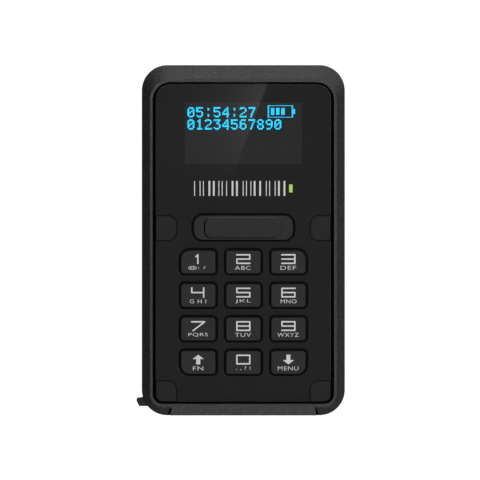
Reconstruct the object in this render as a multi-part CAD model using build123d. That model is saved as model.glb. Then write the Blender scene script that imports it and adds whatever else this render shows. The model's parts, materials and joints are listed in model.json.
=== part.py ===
from build123d import *

import os

# Handheld code reader. Millimetres, +Z out of the front face, +Y toward the scan end.
# It lies on its back: the origin is the middle of the rear face, on the surface it rests on.

# Housing
BODY_HALF_WIDTH = 32.0
BODY_HALF_LENGTH = 55.2
BODY_CORNER = 8.0
BODY_DEPTH = 25.0
SPLIT_Z = 11.0
WALL = 2.2
FLOOR = 2.0
REAR_ROUND = 2.4
CHAMFER_DROP = 2.8
SIDE_CHAMFER = 2.6
TOP_CHAMFER = 4.4
BOTTOM_CHAMFER = 2.6
RIM_TOP_CORNER = 6.6
RIM_BOTTOM_CORNER = 4.1
SHOULDER_ROUND = 0.15
SEAM_CHAMFER = 0.25
TONGUE_HEIGHT = 1.6
TONGUE_INSET = 1.15
SEAL_THICKNESS = 0.5

# Raised lip over the port, at the bottom end
LIP_HALF_WIDTH = 22.36
LIP_FLARE = 0.24
LIP_SLOT_HIGH = -52.65
LIP_SLOT_WIDTH = 0.35
LIP_SLOT_FLARE = 0.2
LIP_SLOT_DEPTH = 0.5

# Opening for the front panel
OPENING_HALF_WIDTH = 28.63
OPENING_LOW = -51.64
OPENING_HIGH = 49.84
OPENING_LOW_CORNER = 3.1
OPENING_HIGH_CORNER = 5.7
LEDGE_Z = 22.5
LEDGE_THICKNESS = 1.6
LEDGE_WIDTH = 2.2

# Front panel
PANEL_HALF_WIDTH = 27.58
PANEL_LOW = -50.92
PANEL_HIGH = 49.16
PANEL_LOW_CORNER = 2.1
PANEL_HIGH_CORNER = 4.7
PANEL_TOP = 24.3
PANEL_FLANGE = 0.35
PANEL_EDGE_ROUND = 0.12
APERTURE_EDGE_ROUND = 0.06

# Keys: a 3 by 4 pad
KEY_PITCH_X = 14.2
KEY_PITCH_Y = 10.55
FIRST_ROW_Y = -6.9
KEY_WIDTH = 10.8
KEY_HEIGHT = 7.17
KEY_CORNER = 1.0
KEY_OUTER_CORNER = 2.75
KEY_GAP_X = 0.87
KEY_GAP_Y = 0.785
KEY_OPENING_SHIFT = 0.085
KEY_TOP = 24.85
KEY_EDGE_ROUND = 0.2
KEY_FLANGE = 0.6
KEY_FLANGE_OVERLAP = 0.4
KEY_FLANGE_TOP = 22.3
KEY_NAMES = [
    ["key_1", "key_2", "key_3"],
    ["key_4", "key_5", "key_6"],
    ["key_7", "key_8", "key_9"],
    ["key_fn", "key_0", "key_menu"],
]

# Scan button
SCAN_Y = 3.88
SCAN_WIDTH = 31.2
SCAN_HEIGHT = 7.65
SCAN_CORNER = 2.8
SCAN_GAP_X = 0.85
SCAN_GAP_Y = 0.65
SCAN_OPENING_SHIFT = 0.13
SCAN_PLATFORM_WIDTH = 24.8
SCAN_PLATFORM_HEIGHT = 6.8
SCAN_PLATFORM_SHIFT = 0.07
SCAN_PLATFORM_CORNER = 2.3
SCAN_PLATFORM_RISE = 0.35
SCAN_PLATFORM_SLOPE = 50

# Screw covers, flush with the panel
COVER_INNER_X = 20.85
SIDE_COVER_LOW = -0.33
SIDE_COVER_HIGH = 7.86
CORNER_COVER_HIGH = -44.15
COVER_CORNER = 2.9
COVER_BASE = 0.15
COVER_TOP = 0.5
COVER_GROOVE = 0.32

# Display
DISPLAY_Y = 33.7
WINDOW_WIDTH = 37.05
WINDOW_HEIGHT = 19.52
WINDOW_CORNER = 0.6
WINDOW_CLEARANCE = 0.03
WINDOW_FLANGE = 1.4
WINDOW_STEP_Z = 23.5
GLASS_WIDTH = 42.04
GLASS_LOW = 18.1
GLASS_HIGH = 45.32
GLASS_Z = 20.9
GLASS_THICKNESS = 1.4

# Main board
BOARD_HALF_WIDTH = 26.0
BOARD_LOW = -46.0
BOARD_HIGH = 46.5
BOARD_Z = 18.0
BOARD_THICKNESS = 1.2
BOARD_TOP = BOARD_Z + BOARD_THICKNESS
BOARD_TONGUE_HALF_WIDTH = 7.0
BOARD_TONGUE_LOW = -50.5
BOARD_SCREWS = [(side * 24.6, y) for side in (-1, 1) for y in (-24.0, 38.0)]

# Fasteners
PANEL_SCREWS = [(side * 24.2, y) for side in (-1, 1) for y in (-47.5, 3.77)]
CASE_SCREWS = [(side * 24.4, y) for side in (-1, 1) for y in (-47.5, 48.4)]
ENGINE_SCREWS = [(-14.8, 44.0), (14.8, 44.0)]
CASE_BOSS = 2.9
INSERT_RADIUS = 1.6
INSERT_LENGTH = 4.0
BOSS_FOOT_Z = 13.4

# Scan window and scan engine, at the top end
WINDOW_MID_Z = 11.0
SCAN_OPENING_WIDTH = 28.0
SCAN_OPENING_HEIGHT = 9.6
SCAN_OPENING_CORNER = 1.6
SCAN_PLATE_WIDTH = 31.0
SCAN_PLATE_HEIGHT = 12.4
SCAN_PLATE_FRONT = 53.9
SCAN_PLATE_THICKNESS = 1.2
ENGINE_WIDTH = 21.4
ENGINE_FRONT = 50.4
ENGINE_BACK = 36.4
ENGINE_LOW = 4.6
ENGINE_HIGH = 16.8
ENGINE_LENS_X = -4.2
ENGINE_LED_XS = (3.4, 7.6)

# Battery
BATTERY_HALF_WIDTH = 17.0
BATTERY_LOW = -31.0
BATTERY_HIGH = 21.0
BATTERY_PAD = 0.6
BATTERY_THICKNESS = 6.4

# Port and its cover, at the bottom end
COVER_HALF_WIDTH = 8.0
COVER_RECESS_DEPTH = 1.45
COVER_RECESS_LOW = 13.4
COVER_RECESS_HIGH = 21.2
HINGE_Y = -54.5
HINGE_Z = 14.1
HINGE_BARREL = 0.65
HINGE_PIN = 0.35
PORT_HALF_WIDTH = 5.0
PORT_LOW = 15.1
PORT_HIGH = 19.2

# Buzzer and vibration motor, either side of the middle
BUZZER_PLACE = (13.0, -39.0)
MOTOR_PLACE = (-13.0, -39.0)

# Strap eye, on the left side near the bottom end
EYE_X = -30.9
EYE_Z = 7.8
EYE_RADIUS = 1.2
EYE_RELIEF = 1.5
EYE_END = -46.2
LUG_LOW = -52.6
LUG_HIGH = -50.0
LUG_HALF_DEPTH = 2.8


def outline(half_width, low, high, radii):
    """A rectangle with its own radius at each corner: low left, low right, high right, high left."""
    corners = [(-half_width, low), (half_width, low), (half_width, high), (-half_width, high)]
    return make_face(FilletPolyline(*corners, radius=radii, close=True))


def inset_outline(inset):
    """The housing's outline, moved inward."""
    length = BODY_HALF_LENGTH - inset
    return outline(BODY_HALF_WIDTH - inset, -length, length, [BODY_CORNER - inset] * 4)


def slab(face, low, high):
    """A flat face drawn out along Z, from low to high."""
    return extrude(Pos(0, 0, low) * face, amount=high - low, dir=(0, 0, 1))


def block(x_range, y_range, z_range):
    """A box between two corners."""
    size = [high - low for low, high in (x_range, y_range, z_range)]
    middle = [(high + low) / 2 for low, high in (x_range, y_range, z_range)]
    return Pos(*middle) * Box(*size)


def rod(x, y, radius, low, high):
    """A round rod along Z."""
    return Pos(x, y, (low + high) / 2) * Cylinder(radius, high - low)


def rod_along_x(y, z, radius, low, high):
    """A round rod along X."""
    return Pos((low + high) / 2, y, z) * Rot(0, 90, 0) * Cylinder(radius, high - low)


def rod_along_y(x, z, radius, low, high):
    """A round rod along Y."""
    return Pos(x, (low + high) / 2, z) * Rot(90, 0, 0) * Cylinder(radius, high - low)


def end_slab(width, height, corner, mid_z, low, high):
    """A rounded rectangle that faces along Y, drawn out from low to high."""
    plane = Plane(origin=(0, high, mid_z), x_dir=(1, 0, 0), z_dir=(0, -1, 0))
    return extrude(plane * RectangleRounded(width, height, corner), amount=high - low)


def pad_face(width, height, corner):
    """A rounded rectangle about the origin."""
    return outline(width / 2, -height / 2, height / 2, [corner] * 4)


def top_edges(solid, z):
    """The edges that lie in the plane at height z."""
    return [e for e in solid.edges() if max(abs(e.bounding_box().min.Z - z), e.bounding_box().size.Z) < 1e-4]


def ribbon(points, bend, thickness, x_low, x_high):
    """A flat cable: a bent strip in the YZ plane, with its width along X."""
    line = FilletPolyline(*points, radius=bend)
    strip = trace(line, line_width=thickness)
    place = Plane(origin=(x_low, 0, 0), x_dir=(0, 1, 0), z_dir=(1, 0, 0))
    return extrude(place * strip, amount=x_high - x_low)


def screw(x, y, head_radius, head_low, head_high, shank_radius, shank_end):
    """A screw along Z whose head has a hexagon socket; shank_end lies on either side of the head."""
    up = shank_end < head_low
    seat = head_low if up else head_high
    face = head_high if up else head_low
    socket_depth = (head_high - head_low) * 0.6
    socket = [face - socket_depth, face] if up else [face, face + socket_depth]
    shank = sorted([seat, shank_end])
    solid = rod(x, y, head_radius, head_low, head_high) + rod(x, y, shank_radius, *shank)
    return solid - slab(Pos(x, y) * RegularPolygon(head_radius * 0.5, 6), *socket)


def key_centre(row, column):
    """The middle of a key."""
    return (column - 1) * KEY_PITCH_X, FIRST_ROW_Y - row * KEY_PITCH_Y


def key_radii(row, column, inner, outer):
    """A key's four corner radii: the pad's own four corners are rounder."""
    radii = [inner] * 4
    pad_corners = {(3, 0): 0, (3, 2): 1, (0, 2): 2, (0, 0): 3}
    if (row, column) in pad_corners:
        radii[pad_corners[(row, column)]] = outer
    return radii


def key_face(row, column, grow_x, grow_y):
    """A key's outline, made larger by grow_x and grow_y on each side."""
    half_height = KEY_HEIGHT / 2 + grow_y
    radii = key_radii(row, column, KEY_CORNER + grow_y, KEY_OUTER_CORNER + grow_y)
    face = outline(KEY_WIDTH / 2 + grow_x, -half_height, half_height, radii)
    return Pos(*key_centre(row, column)) * face


def scan_face(grow_x, grow_y):
    """The scan button's outline, made larger on each side."""
    width = SCAN_WIDTH + 2 * grow_x
    height = SCAN_HEIGHT + 2 * grow_y
    return Pos(0, SCAN_Y) * pad_face(width, height, SCAN_CORNER + grow_y)


def cover_face(side, low, high, inset, outer_inset):
    """A screw cover's outline: one edge runs along the panel's edge, and its inner corners are round."""
    inner = COVER_INNER_X + inset
    outer = PANEL_HALF_WIDTH - outer_inset
    radius = COVER_CORNER - inset
    is_corner = low < SIDE_COVER_LOW
    low_edge = low + (outer_inset if is_corner else inset)
    corners = [(inner, low_edge), (outer, low_edge), (outer, high - inset), (inner, high - inset)]
    radii = [0, PANEL_LOW_CORNER - outer_inset, 0, radius] if is_corner else [radius, 0, 0, radius]
    face = make_face(FilletPolyline(*corners, radius=radii, close=True))
    return face if side > 0 else mirror(face, Plane.YZ)


def make_chamfered_shell():
    """The front housing's outside: straight walls, then a wide chamfer up to a flat rim."""
    shoulder_z = BODY_DEPTH - CHAMFER_DROP
    walls = slab(inset_outline(0), SPLIT_Z, shoulder_z)
    rim = outline(
        BODY_HALF_WIDTH - SIDE_CHAMFER,
        BOTTOM_CHAMFER - BODY_HALF_LENGTH,
        BODY_HALF_LENGTH - TOP_CHAMFER,
        [RIM_BOTTOM_CORNER, RIM_BOTTOM_CORNER, RIM_TOP_CORNER, RIM_TOP_CORNER],
    )
    slope = loft([Pos(0, 0, shoulder_z) * inset_outline(0), Pos(0, 0, BODY_DEPTH) * rim], ruled=True)
    shell = fillet(top_edges(walls + slope, shoulder_z), SHOULDER_ROUND)
    shell = chamfer(top_edges(shell, SPLIT_Z), SEAM_CHAMFER)
    shell += slab(lip_face(), shoulder_z - 1, BODY_DEPTH)
    for side in (-1, 1):
        shell -= slab(lip_slot_face(side), shoulder_z - LIP_SLOT_DEPTH, BODY_DEPTH + 1)
    return shell


def lip_edge(y):
    """How far from the middle the lip's ends are, at y: they flare toward the bottom."""
    return LIP_HALF_WIDTH + LIP_FLARE * (0.5 + BOTTOM_CHAMFER - BODY_HALF_LENGTH - y)


def lip_face():
    """The raised lip over the bottom chamfer, seen from above."""
    low = -BODY_HALF_LENGTH
    high = low + BOTTOM_CHAMFER + 0.5
    corners = [(-lip_edge(low), low), (-lip_edge(high), high), (lip_edge(high), high), (lip_edge(low), low)]
    return make_face(Polyline(*corners, close=True))


def lip_slot_face(side):
    """The narrow slot past one end of the lip, seen from above."""
    low = -BODY_HALF_LENGTH - 1
    high = LIP_SLOT_HIGH
    wide = LIP_SLOT_WIDTH + LIP_SLOT_FLARE * (high - low)
    corners = [
        (side * lip_edge(low), low),
        (side * lip_edge(high), high),
        (side * (lip_edge(high) + LIP_SLOT_WIDTH), high),
        (side * (lip_edge(low) + wide), low),
    ]
    return make_face(Polyline(*corners, close=True))


def post_with_rib(x, y, radius, low, high):
    """A round post joined to the ledge beside it by a rib."""
    rib_x = sorted([x, x + (3.4 if x > 0 else -3.4)])
    return rod(x, y, radius, low, high) + block(rib_x, (y - 1.2, y + 1.2), (low, high))


def scan_window_cut():
    """The scan window's opening through the end wall, and the pocket that holds its plate."""
    corner = SCAN_OPENING_CORNER
    front = SCAN_PLATE_FRONT
    outside = BODY_HALF_LENGTH + 1
    opening = end_slab(SCAN_OPENING_WIDTH, SCAN_OPENING_HEIGHT, corner, WINDOW_MID_Z, front - 1, outside)
    pocket = end_slab(SCAN_PLATE_WIDTH + 0.2, SCAN_PLATE_HEIGHT + 0.2, corner, WINDOW_MID_Z, front - 3, front)
    return opening + pocket


def make_front_housing():
    """The front shell, with the panel's ledge, the bosses and both end openings."""
    solid = make_chamfered_shell()
    ledge_bottom = LEDGE_Z - LEDGE_THICKNESS
    opening_radii = [OPENING_LOW_CORNER, OPENING_LOW_CORNER, OPENING_HIGH_CORNER, OPENING_HIGH_CORNER]
    opening = outline(OPENING_HALF_WIDTH, OPENING_LOW, OPENING_HIGH, opening_radii)
    solid -= slab(opening, LEDGE_Z, BODY_DEPTH + 1)
    solid -= slab(inset_outline(WALL), SPLIT_Z - 1, ledge_bottom)
    ledge_low = OPENING_LOW + LEDGE_WIDTH
    ledge_high = OPENING_HIGH - LEDGE_WIDTH
    ledge = outline(OPENING_HALF_WIDTH - LEDGE_WIDTH, ledge_low, ledge_high, [2.0] * 4)
    solid -= slab(ledge, ledge_bottom - 1, LEDGE_Z + 1)
    rabbet_top = SPLIT_Z + TONGUE_HEIGHT + SEAL_THICKNESS + 0.05
    solid -= slab(inset_outline(TONGUE_INSET - 0.05), SPLIT_Z - 1, rabbet_top)
    for x, y in CASE_SCREWS:
        solid += rod(x, y, CASE_BOSS, BOSS_FOOT_Z, ledge_bottom + 0.8)
    for x, y in PANEL_SCREWS:
        low = ledge_bottom if y < 0 else BOARD_TOP + 0.1
        solid += post_with_rib(x, y, 2.0, low, LEDGE_Z)
    for x, y in BOARD_SCREWS:
        solid += post_with_rib(x, y, 1.8, BOARD_TOP, LEDGE_Z - 0.3)
    for x, y in CASE_SCREWS:
        solid -= rod(x, y, INSERT_RADIUS, BOSS_FOOT_Z - 1, BOSS_FOOT_Z + INSERT_LENGTH)
    for x, y in PANEL_SCREWS:
        solid -= rod(x, y, 0.8, BOARD_TOP + 0.3, LEDGE_Z + 1)
    for x, y in BOARD_SCREWS:
        solid -= rod(x, y, 0.8, BOARD_TOP - 1, LEDGE_Z - 0.8)
    solid -= scan_window_cut()
    outer_y = -BODY_HALF_LENGTH
    recess_x = (-COVER_HALF_WIDTH - 0.15, COVER_HALF_WIDTH + 0.15)
    recess_y = (outer_y - 1, outer_y + COVER_RECESS_DEPTH)
    solid -= block(recess_x, recess_y, (COVER_RECESS_LOW, COVER_RECESS_HIGH))
    port_mid = (PORT_LOW + PORT_HIGH) / 2
    solid -= end_slab(2 * PORT_HALF_WIDTH, PORT_HIGH - PORT_LOW, 0.8, port_mid, outer_y, outer_y + WALL + 1)
    pin_reach = COVER_HALF_WIDTH + 1.2
    solid -= rod_along_x(HINGE_Y, HINGE_Z, HINGE_PIN, -pin_reach, pin_reach)
    return solid


def make_rear_housing():
    """The rear shell, with its tongue, posts, battery ribs, label recess and strap eye."""
    solid = slab(inset_outline(0), 0, SPLIT_Z)
    solid = fillet(top_edges(solid, 0), REAR_ROUND)
    solid = chamfer(top_edges(solid, SPLIT_Z), SEAM_CHAMFER)
    solid += slab(inset_outline(TONGUE_INSET), SPLIT_Z - 1, SPLIT_Z + TONGUE_HEIGHT)
    solid -= slab(inset_outline(WALL), FLOOR, SPLIT_Z + 5)
    eye_pad = block((-BODY_HALF_WIDTH + 1, EYE_X + 3.2), (-53.6, -43.2), (FLOOR - 1, SPLIT_Z - 0.4))
    solid += eye_pad & slab(inset_outline(1), 0, SPLIT_Z)
    lug = Polyline(
        (-28.5, LUG_LOW),
        (-33.05, LUG_LOW),
        (-33.9, LUG_HIGH - 0.75),
        (-33.75, LUG_HIGH - 0.1),
        (-33.4, LUG_HIGH),
        (-32.3, LUG_HIGH + 0.1),
        (-31.6, LUG_HIGH + 0.6),
        (-28.5, LUG_HIGH + 0.6),
        close=True,
    )
    solid += slab(make_face(lug), EYE_Z - LUG_HALF_DEPTH, EYE_Z + LUG_HALF_DEPTH)
    solid -= rod_along_y(EYE_X, EYE_Z, EYE_RADIUS, LUG_LOW - 1, LUG_HIGH + 1)
    solid -= rod_along_y(EYE_X, EYE_Z, EYE_RELIEF, -BODY_HALF_LENGTH - 1, LUG_LOW)
    solid -= rod_along_y(EYE_X, EYE_Z, EYE_RELIEF, LUG_HIGH, EYE_END)
    solid -= Pos(EYE_X, EYE_END, EYE_Z) * Sphere(EYE_RELIEF)
    solid -= rod_along_y(-BODY_HALF_WIDTH - 0.6, EYE_Z, 2.1, LUG_HIGH + 0.5, EYE_END + 0.4)
    for x, y in CASE_SCREWS:
        solid += rod(x, y, CASE_BOSS, FLOOR - 0.5, BOSS_FOOT_Z - 0.1)
        solid -= rod(x, y, 2.1, -1, 2.6)
        solid -= rod(x, y, 1.15, -1, BOSS_FOOT_Z)
    for x, y in ENGINE_SCREWS:
        solid += rod(x, y, 2.2, FLOOR - 0.5, ENGINE_LOW - 1.0)
        solid -= rod(x, y, 0.8, FLOOR - 0.2, ENGINE_LOW)
    for side in (-1, 1):
        rib_x = sorted([side * (BATTERY_HALF_WIDTH + 0.4), side * (BATTERY_HALF_WIDTH + 1.3)])
        for rib_y in ((BATTERY_LOW, BATTERY_LOW + 12), (BATTERY_HIGH - 12, BATTERY_HIGH)):
            solid += block(rib_x, rib_y, (FLOOR - 0.5, FLOOR + 4.5))
        rib_x = sorted([side * 8, side * (BATTERY_HALF_WIDTH + 1.3)])
        solid += block(rib_x, (BATTERY_LOW - 1.3, BATTERY_LOW - 0.4), (FLOOR - 0.5, FLOOR + 4.5))
    solid -= label_slab(0.1, -1, 0.3)
    for turn in range(6):
        hole = Pos(BUZZER_PLACE[0], BUZZER_PLACE[1]) * Rot(0, 0, 60 * turn) * Pos(2.2, 0)
        solid -= hole * Cylinder(0.55, 3 * FLOOR)
    solid -= rod(*BUZZER_PLACE, 0.55, -1, FLOOR + 1)
    solid -= scan_window_cut()
    return solid


def label_slab(grow, low, high):
    """The rating label's shape, on the rear face."""
    return slab(Pos(0, 27) * pad_face(36 + 2 * grow, 22 + 2 * grow, 1.5), low, high)


def make_housing_seal():
    """The rubber ring between the shells."""
    low = SPLIT_Z + TONGUE_HEIGHT
    ring = slab(inset_outline(TONGUE_INSET + 0.05), low, low + SEAL_THICKNESS)
    ring -= slab(inset_outline(WALL - 0.05), low - 1, low + 2)
    gap = block((-16.5, 16.5), (50, 60), (low - 1, low + 2))
    return ring - gap


def make_front_panel():
    """The inset front panel: key openings, display opening, and seats for the screws and their covers."""
    radii = [PANEL_LOW_CORNER, PANEL_LOW_CORNER, PANEL_HIGH_CORNER, PANEL_HIGH_CORNER]
    solid = slab(outline(PANEL_HALF_WIDTH, PANEL_LOW, PANEL_HIGH, radii), LEDGE_Z, PANEL_TOP)
    for row in range(4):
        for column in range(3):
            opening = Pos(0, KEY_OPENING_SHIFT) * key_face(row, column, KEY_GAP_X, KEY_GAP_Y)
            solid -= slab(opening, LEDGE_Z - 1, PANEL_TOP + 1)
    opening = Pos(0, SCAN_OPENING_SHIFT) * scan_face(SCAN_GAP_X, SCAN_GAP_Y)
    solid -= slab(opening, LEDGE_Z - 1, PANEL_TOP + 1)
    aperture_edges = top_edges(solid, PANEL_TOP)
    outer_edges = [e for e in aperture_edges if is_panel_border(e)]
    inner_edges = [e for e in aperture_edges if not is_panel_border(e)]
    solid = fillet(inner_edges, APERTURE_EDGE_ROUND)
    outer_edges = [e for e in top_edges(solid, PANEL_TOP) if is_panel_border(e)]
    solid = fillet(outer_edges, PANEL_EDGE_ROUND)
    grow = OPENING_HALF_WIDTH - PANEL_HALF_WIDTH - 0.15
    flange_radii = [r + grow for r in radii]
    flange_low = OPENING_LOW + 0.15
    flange_high = OPENING_HIGH - 0.15
    flange = outline(PANEL_HALF_WIDTH + grow, flange_low, flange_high, flange_radii)
    core = outline(PANEL_HALF_WIDTH - 0.5, PANEL_LOW + 0.5, PANEL_HIGH - 0.5, radii)
    solid += slab(flange, LEDGE_Z, LEDGE_Z + PANEL_FLANGE) - slab(core, LEDGE_Z - 1, LEDGE_Z + 2)
    window = window_face(WINDOW_CLEARANCE)
    solid -= slab(window, LEDGE_Z - 1, PANEL_TOP + 1)
    solid -= slab(window_face(WINDOW_FLANGE + 0.1), LEDGE_Z - 1, WINDOW_STEP_Z)
    recess_z = PANEL_TOP - COVER_BASE - COVER_TOP
    for side in (-1, 1):
        for low, high in cover_spans():
            solid -= slab(cover_face(side, low, high, 0, -0.01), recess_z, PANEL_TOP + 1)
    for x, y in PANEL_SCREWS:
        solid -= rod(x, y, 1.65, recess_z - 0.7, PANEL_TOP)
        solid -= rod(x, y, 0.95, LEDGE_Z - 1, PANEL_TOP)
    return solid


def is_panel_border(edge):
    """True for an edge on the panel's outer border."""
    middle = edge.center()
    return abs(middle.X) > COVER_INNER_X + 4 or middle.Y < PANEL_LOW + 2.5 or middle.Y > PANEL_HIGH - 3


def cover_spans():
    """Each screw cover's low and high ends along Y."""
    return [(SIDE_COVER_LOW, SIDE_COVER_HIGH), (PANEL_LOW, CORNER_COVER_HIGH)]


def make_screw_cover(side, low, high):
    """A thin plug over a screw: a full base, and a top set in to leave a shallow groove."""
    base_z = PANEL_TOP - COVER_BASE - COVER_TOP
    base = slab(cover_face(side, low, high, 0.03, 0.02), base_z, base_z + COVER_BASE)
    top = slab(cover_face(side, low, high, COVER_GROOVE, 0.12), base_z, PANEL_TOP)
    return base + fillet(top_edges(top, PANEL_TOP), 0.1)


def window_face(grow):
    """The display window's outline, made larger on each side."""
    width = WINDOW_WIDTH + 2 * grow
    height = WINDOW_HEIGHT + 2 * grow
    return Pos(0, DISPLAY_Y) * pad_face(width, height, WINDOW_CORNER)


def make_display_window():
    """The clear window: flush with the panel, with a flange behind it."""
    solid = slab(window_face(0), WINDOW_STEP_Z - 0.5, PANEL_TOP - 0.02)
    return solid + slab(window_face(WINDOW_FLANGE), LEDGE_Z + 0.1, WINDOW_STEP_Z)


def make_display_module():
    """The display's glass."""
    x_range = (-GLASS_WIDTH / 2, GLASS_WIDTH / 2)
    return block(x_range, (GLASS_LOW, GLASS_HIGH), (GLASS_Z, GLASS_Z + GLASS_THICKNESS))


def make_display_frame():
    """The frame that holds the display's glass off the board."""
    half_width = GLASS_WIDTH / 2

    def ring(grow, z_range):
        return block((-half_width - grow, half_width + grow), (GLASS_LOW - grow, GLASS_HIGH + grow), z_range)

    solid = ring(1.2, (BOARD_TOP, GLASS_Z + 1))
    solid -= ring(0.06, (GLASS_Z, GLASS_Z + 2))
    solid -= ring(-3, (BOARD_TOP - 1, GLASS_Z + 1))
    return solid - block((-7.6, 7.6), (GLASS_LOW - 3, GLASS_LOW + 1), (GLASS_Z, GLASS_Z + 2))


def make_key(row, column):
    """A key cap over a wider flange that the panel keeps in."""
    cap = slab(key_face(row, column, 0, 0), KEY_FLANGE_TOP - 0.1, KEY_TOP)
    cap = fillet(top_edges(cap, KEY_TOP), KEY_EDGE_ROUND)
    grow_x = KEY_GAP_X + KEY_FLANGE_OVERLAP
    grow_y = KEY_GAP_Y + KEY_FLANGE_OVERLAP
    return cap + slab(key_face(row, column, grow_x, grow_y), KEY_FLANGE_TOP - KEY_FLANGE, KEY_FLANGE_TOP)


def make_scan_button():
    """The wide scan button, with a low platform in its middle."""
    cap = slab(scan_face(0, 0), KEY_FLANGE_TOP - 0.1, KEY_TOP)
    cap = fillet(top_edges(cap, KEY_TOP), KEY_EDGE_ROUND)
    platform = pad_face(SCAN_PLATFORM_WIDTH, SCAN_PLATFORM_HEIGHT, SCAN_PLATFORM_CORNER)
    foot = Pos(0, SCAN_Y + SCAN_PLATFORM_SHIFT, KEY_TOP) * platform
    cap += extrude(foot, amount=SCAN_PLATFORM_RISE, taper=SCAN_PLATFORM_SLOPE)
    flange = scan_face(SCAN_GAP_X + KEY_FLANGE_OVERLAP, SCAN_GAP_Y + KEY_FLANGE_OVERLAP)
    return cap + slab(flange, KEY_FLANGE_TOP - KEY_FLANGE, KEY_FLANGE_TOP)


def switch_places():
    """Where each key and the scan button press the board."""
    places = [key_centre(row, column) for row in range(4) for column in range(3)]
    return places + [(0, SCAN_Y)]


def make_keypad_mat():
    """The rubber mat: a sheet with one pillar under each key, hollow over its contact."""
    low = BOARD_TOP + 0.05
    solid = slab(outline(21.3, -43.8, 9.2, [2.0] * 4), low, low + 0.8)
    for x, y in switch_places():
        solid += slab(Pos(x, y) * pad_face(6.4, 4.0, 0.8), low, KEY_FLANGE_TOP - KEY_FLANGE)
        solid -= rod(x, y, 2.9, low - 1, low + 0.5)
        solid += rod(x, y, 0.8, low + 0.4, low + 0.6)
    return solid


def make_contact_domes():
    """The metal domes that each key snaps down onto the board."""
    dome_radius = 2.4
    rise = 0.3
    thickness = 0.08
    ball = (dome_radius**2 + rise**2) / (2 * rise)
    domes = []
    for x, y in switch_places():
        cap = Sphere(ball) - Sphere(ball - thickness)
        cap &= Pos(0, 0, ball) * Box(8, 8, 2 * rise)
        domes.append(Pos(x, y, BOARD_TOP - ball + rise) * cap)
    return Compound(children=domes)


def make_main_board():
    """The circuit board, cut away round the case bosses, with a tongue under the port."""
    solid = block((-BOARD_HALF_WIDTH, BOARD_HALF_WIDTH), (BOARD_LOW, BOARD_HIGH), (BOARD_Z, BOARD_TOP))
    tongue_x = (-BOARD_TONGUE_HALF_WIDTH, BOARD_TONGUE_HALF_WIDTH)
    solid += block(tongue_x, (BOARD_TONGUE_LOW, BOARD_LOW + 1), (BOARD_Z, BOARD_TOP))
    for x, y in CASE_SCREWS:
        solid -= rod(x, y, CASE_BOSS + 0.6, BOARD_Z - 1, BOARD_TOP + 1)
    for x, y in BOARD_SCREWS:
        solid -= rod(x, y, 0.95, BOARD_Z - 1, BOARD_TOP + 1)
    return solid


def make_case_screws():
    """Four long screws, put in from the rear."""
    tip = BOSS_FOOT_Z + INSERT_LENGTH - 0.8
    return Compound(children=[screw(x, y, 1.9, 0.9, 2.6, 0.98, tip) for x, y in CASE_SCREWS])


def make_threaded_inserts():
    """The brass inserts that the case screws go into."""
    inserts = []
    for x, y in CASE_SCREWS:
        insert = rod(x, y, INSERT_RADIUS, BOSS_FOOT_Z, BOSS_FOOT_Z + INSERT_LENGTH)
        inserts.append(insert - rod(x, y, 1.0, BOSS_FOOT_Z - 1, BOSS_FOOT_Z + INSERT_LENGTH + 1))
    return Compound(children=inserts)


def make_panel_screws():
    """Four short screws under the covers."""
    seat = PANEL_TOP - COVER_BASE - COVER_TOP - 0.7
    tip = BOARD_TOP + 0.6
    return Compound(children=[screw(x, y, 1.5, seat, seat + 0.68, 0.78, tip) for x, y in PANEL_SCREWS])


def make_board_screws():
    """Four screws that hold the board up to the front housing."""
    head_low = BOARD_Z - 0.9
    tip = LEDGE_Z - 1.0
    return Compound(children=[screw(x, y, 1.4, head_low, BOARD_Z, 0.78, tip) for x, y in BOARD_SCREWS])


def make_engine_screws():
    """Two screws through the bracket's ears."""
    seat = ENGINE_LOW
    return Compound(children=[screw(x, y, 1.6, seat, seat + 1.1, 0.78, FLOOR) for x, y in ENGINE_SCREWS])


def make_scan_window():
    """The dark red plate that the engine looks out through."""
    front = SCAN_PLATE_FRONT
    back = front - SCAN_PLATE_THICKNESS
    return end_slab(SCAN_PLATE_WIDTH, SCAN_PLATE_HEIGHT, SCAN_OPENING_CORNER, WINDOW_MID_Z, back, front)


def make_window_seal():
    """The foam frame between the scan window and the engine."""
    high = SCAN_PLATE_FRONT - SCAN_PLATE_THICKNESS
    low = high - 1.2
    solid = end_slab(SCAN_PLATE_WIDTH - 0.6, SCAN_PLATE_HEIGHT - 0.6, 1.4, WINDOW_MID_Z, low, high)
    inside = end_slab(SCAN_OPENING_WIDTH - 2, SCAN_OPENING_HEIGHT - 1, 1, WINDOW_MID_Z, low - 1, high + 1)
    return solid - inside


def engine_mid_z():
    """The height of the engine's optical axis."""
    return (ENGINE_LOW + ENGINE_HIGH) / 2


def make_scan_engine():
    """The scan engine's block, with wells in its front for the lens and the lamps."""
    x_range = (-ENGINE_WIDTH / 2, ENGINE_WIDTH / 2)
    solid = block(x_range, (ENGINE_BACK, ENGINE_FRONT), (ENGINE_LOW, ENGINE_HIGH))
    solid = fillet(solid.edges().filter_by(Axis.Y), 0.8)
    solid -= rod_along_y(ENGINE_LENS_X, engine_mid_z(), 3.6, ENGINE_FRONT - 3, ENGINE_FRONT + 1)
    for x in ENGINE_LED_XS:
        solid -= rod_along_y(x, engine_mid_z(), 1.7, ENGINE_FRONT - 2, ENGINE_FRONT + 1)
    return solid


def make_engine_lens():
    """The lens barrel's glass: a short rod with a domed front."""
    radius = 3.4
    back = ENGINE_FRONT - 3
    rim = ENGINE_FRONT - 1.5
    tip = ENGINE_FRONT - 0.4
    ball = (radius**2 + (tip - rim) ** 2) / (2 * (tip - rim))
    dome = RadiusArc((radius, rim), (0, tip), -ball)
    sides = Polyline((0, tip), (0, back), (radius, back), (radius, rim))
    return Pos(ENGINE_LENS_X, 0, engine_mid_z()) * revolve(make_face(dome + sides), Axis.Y)


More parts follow.
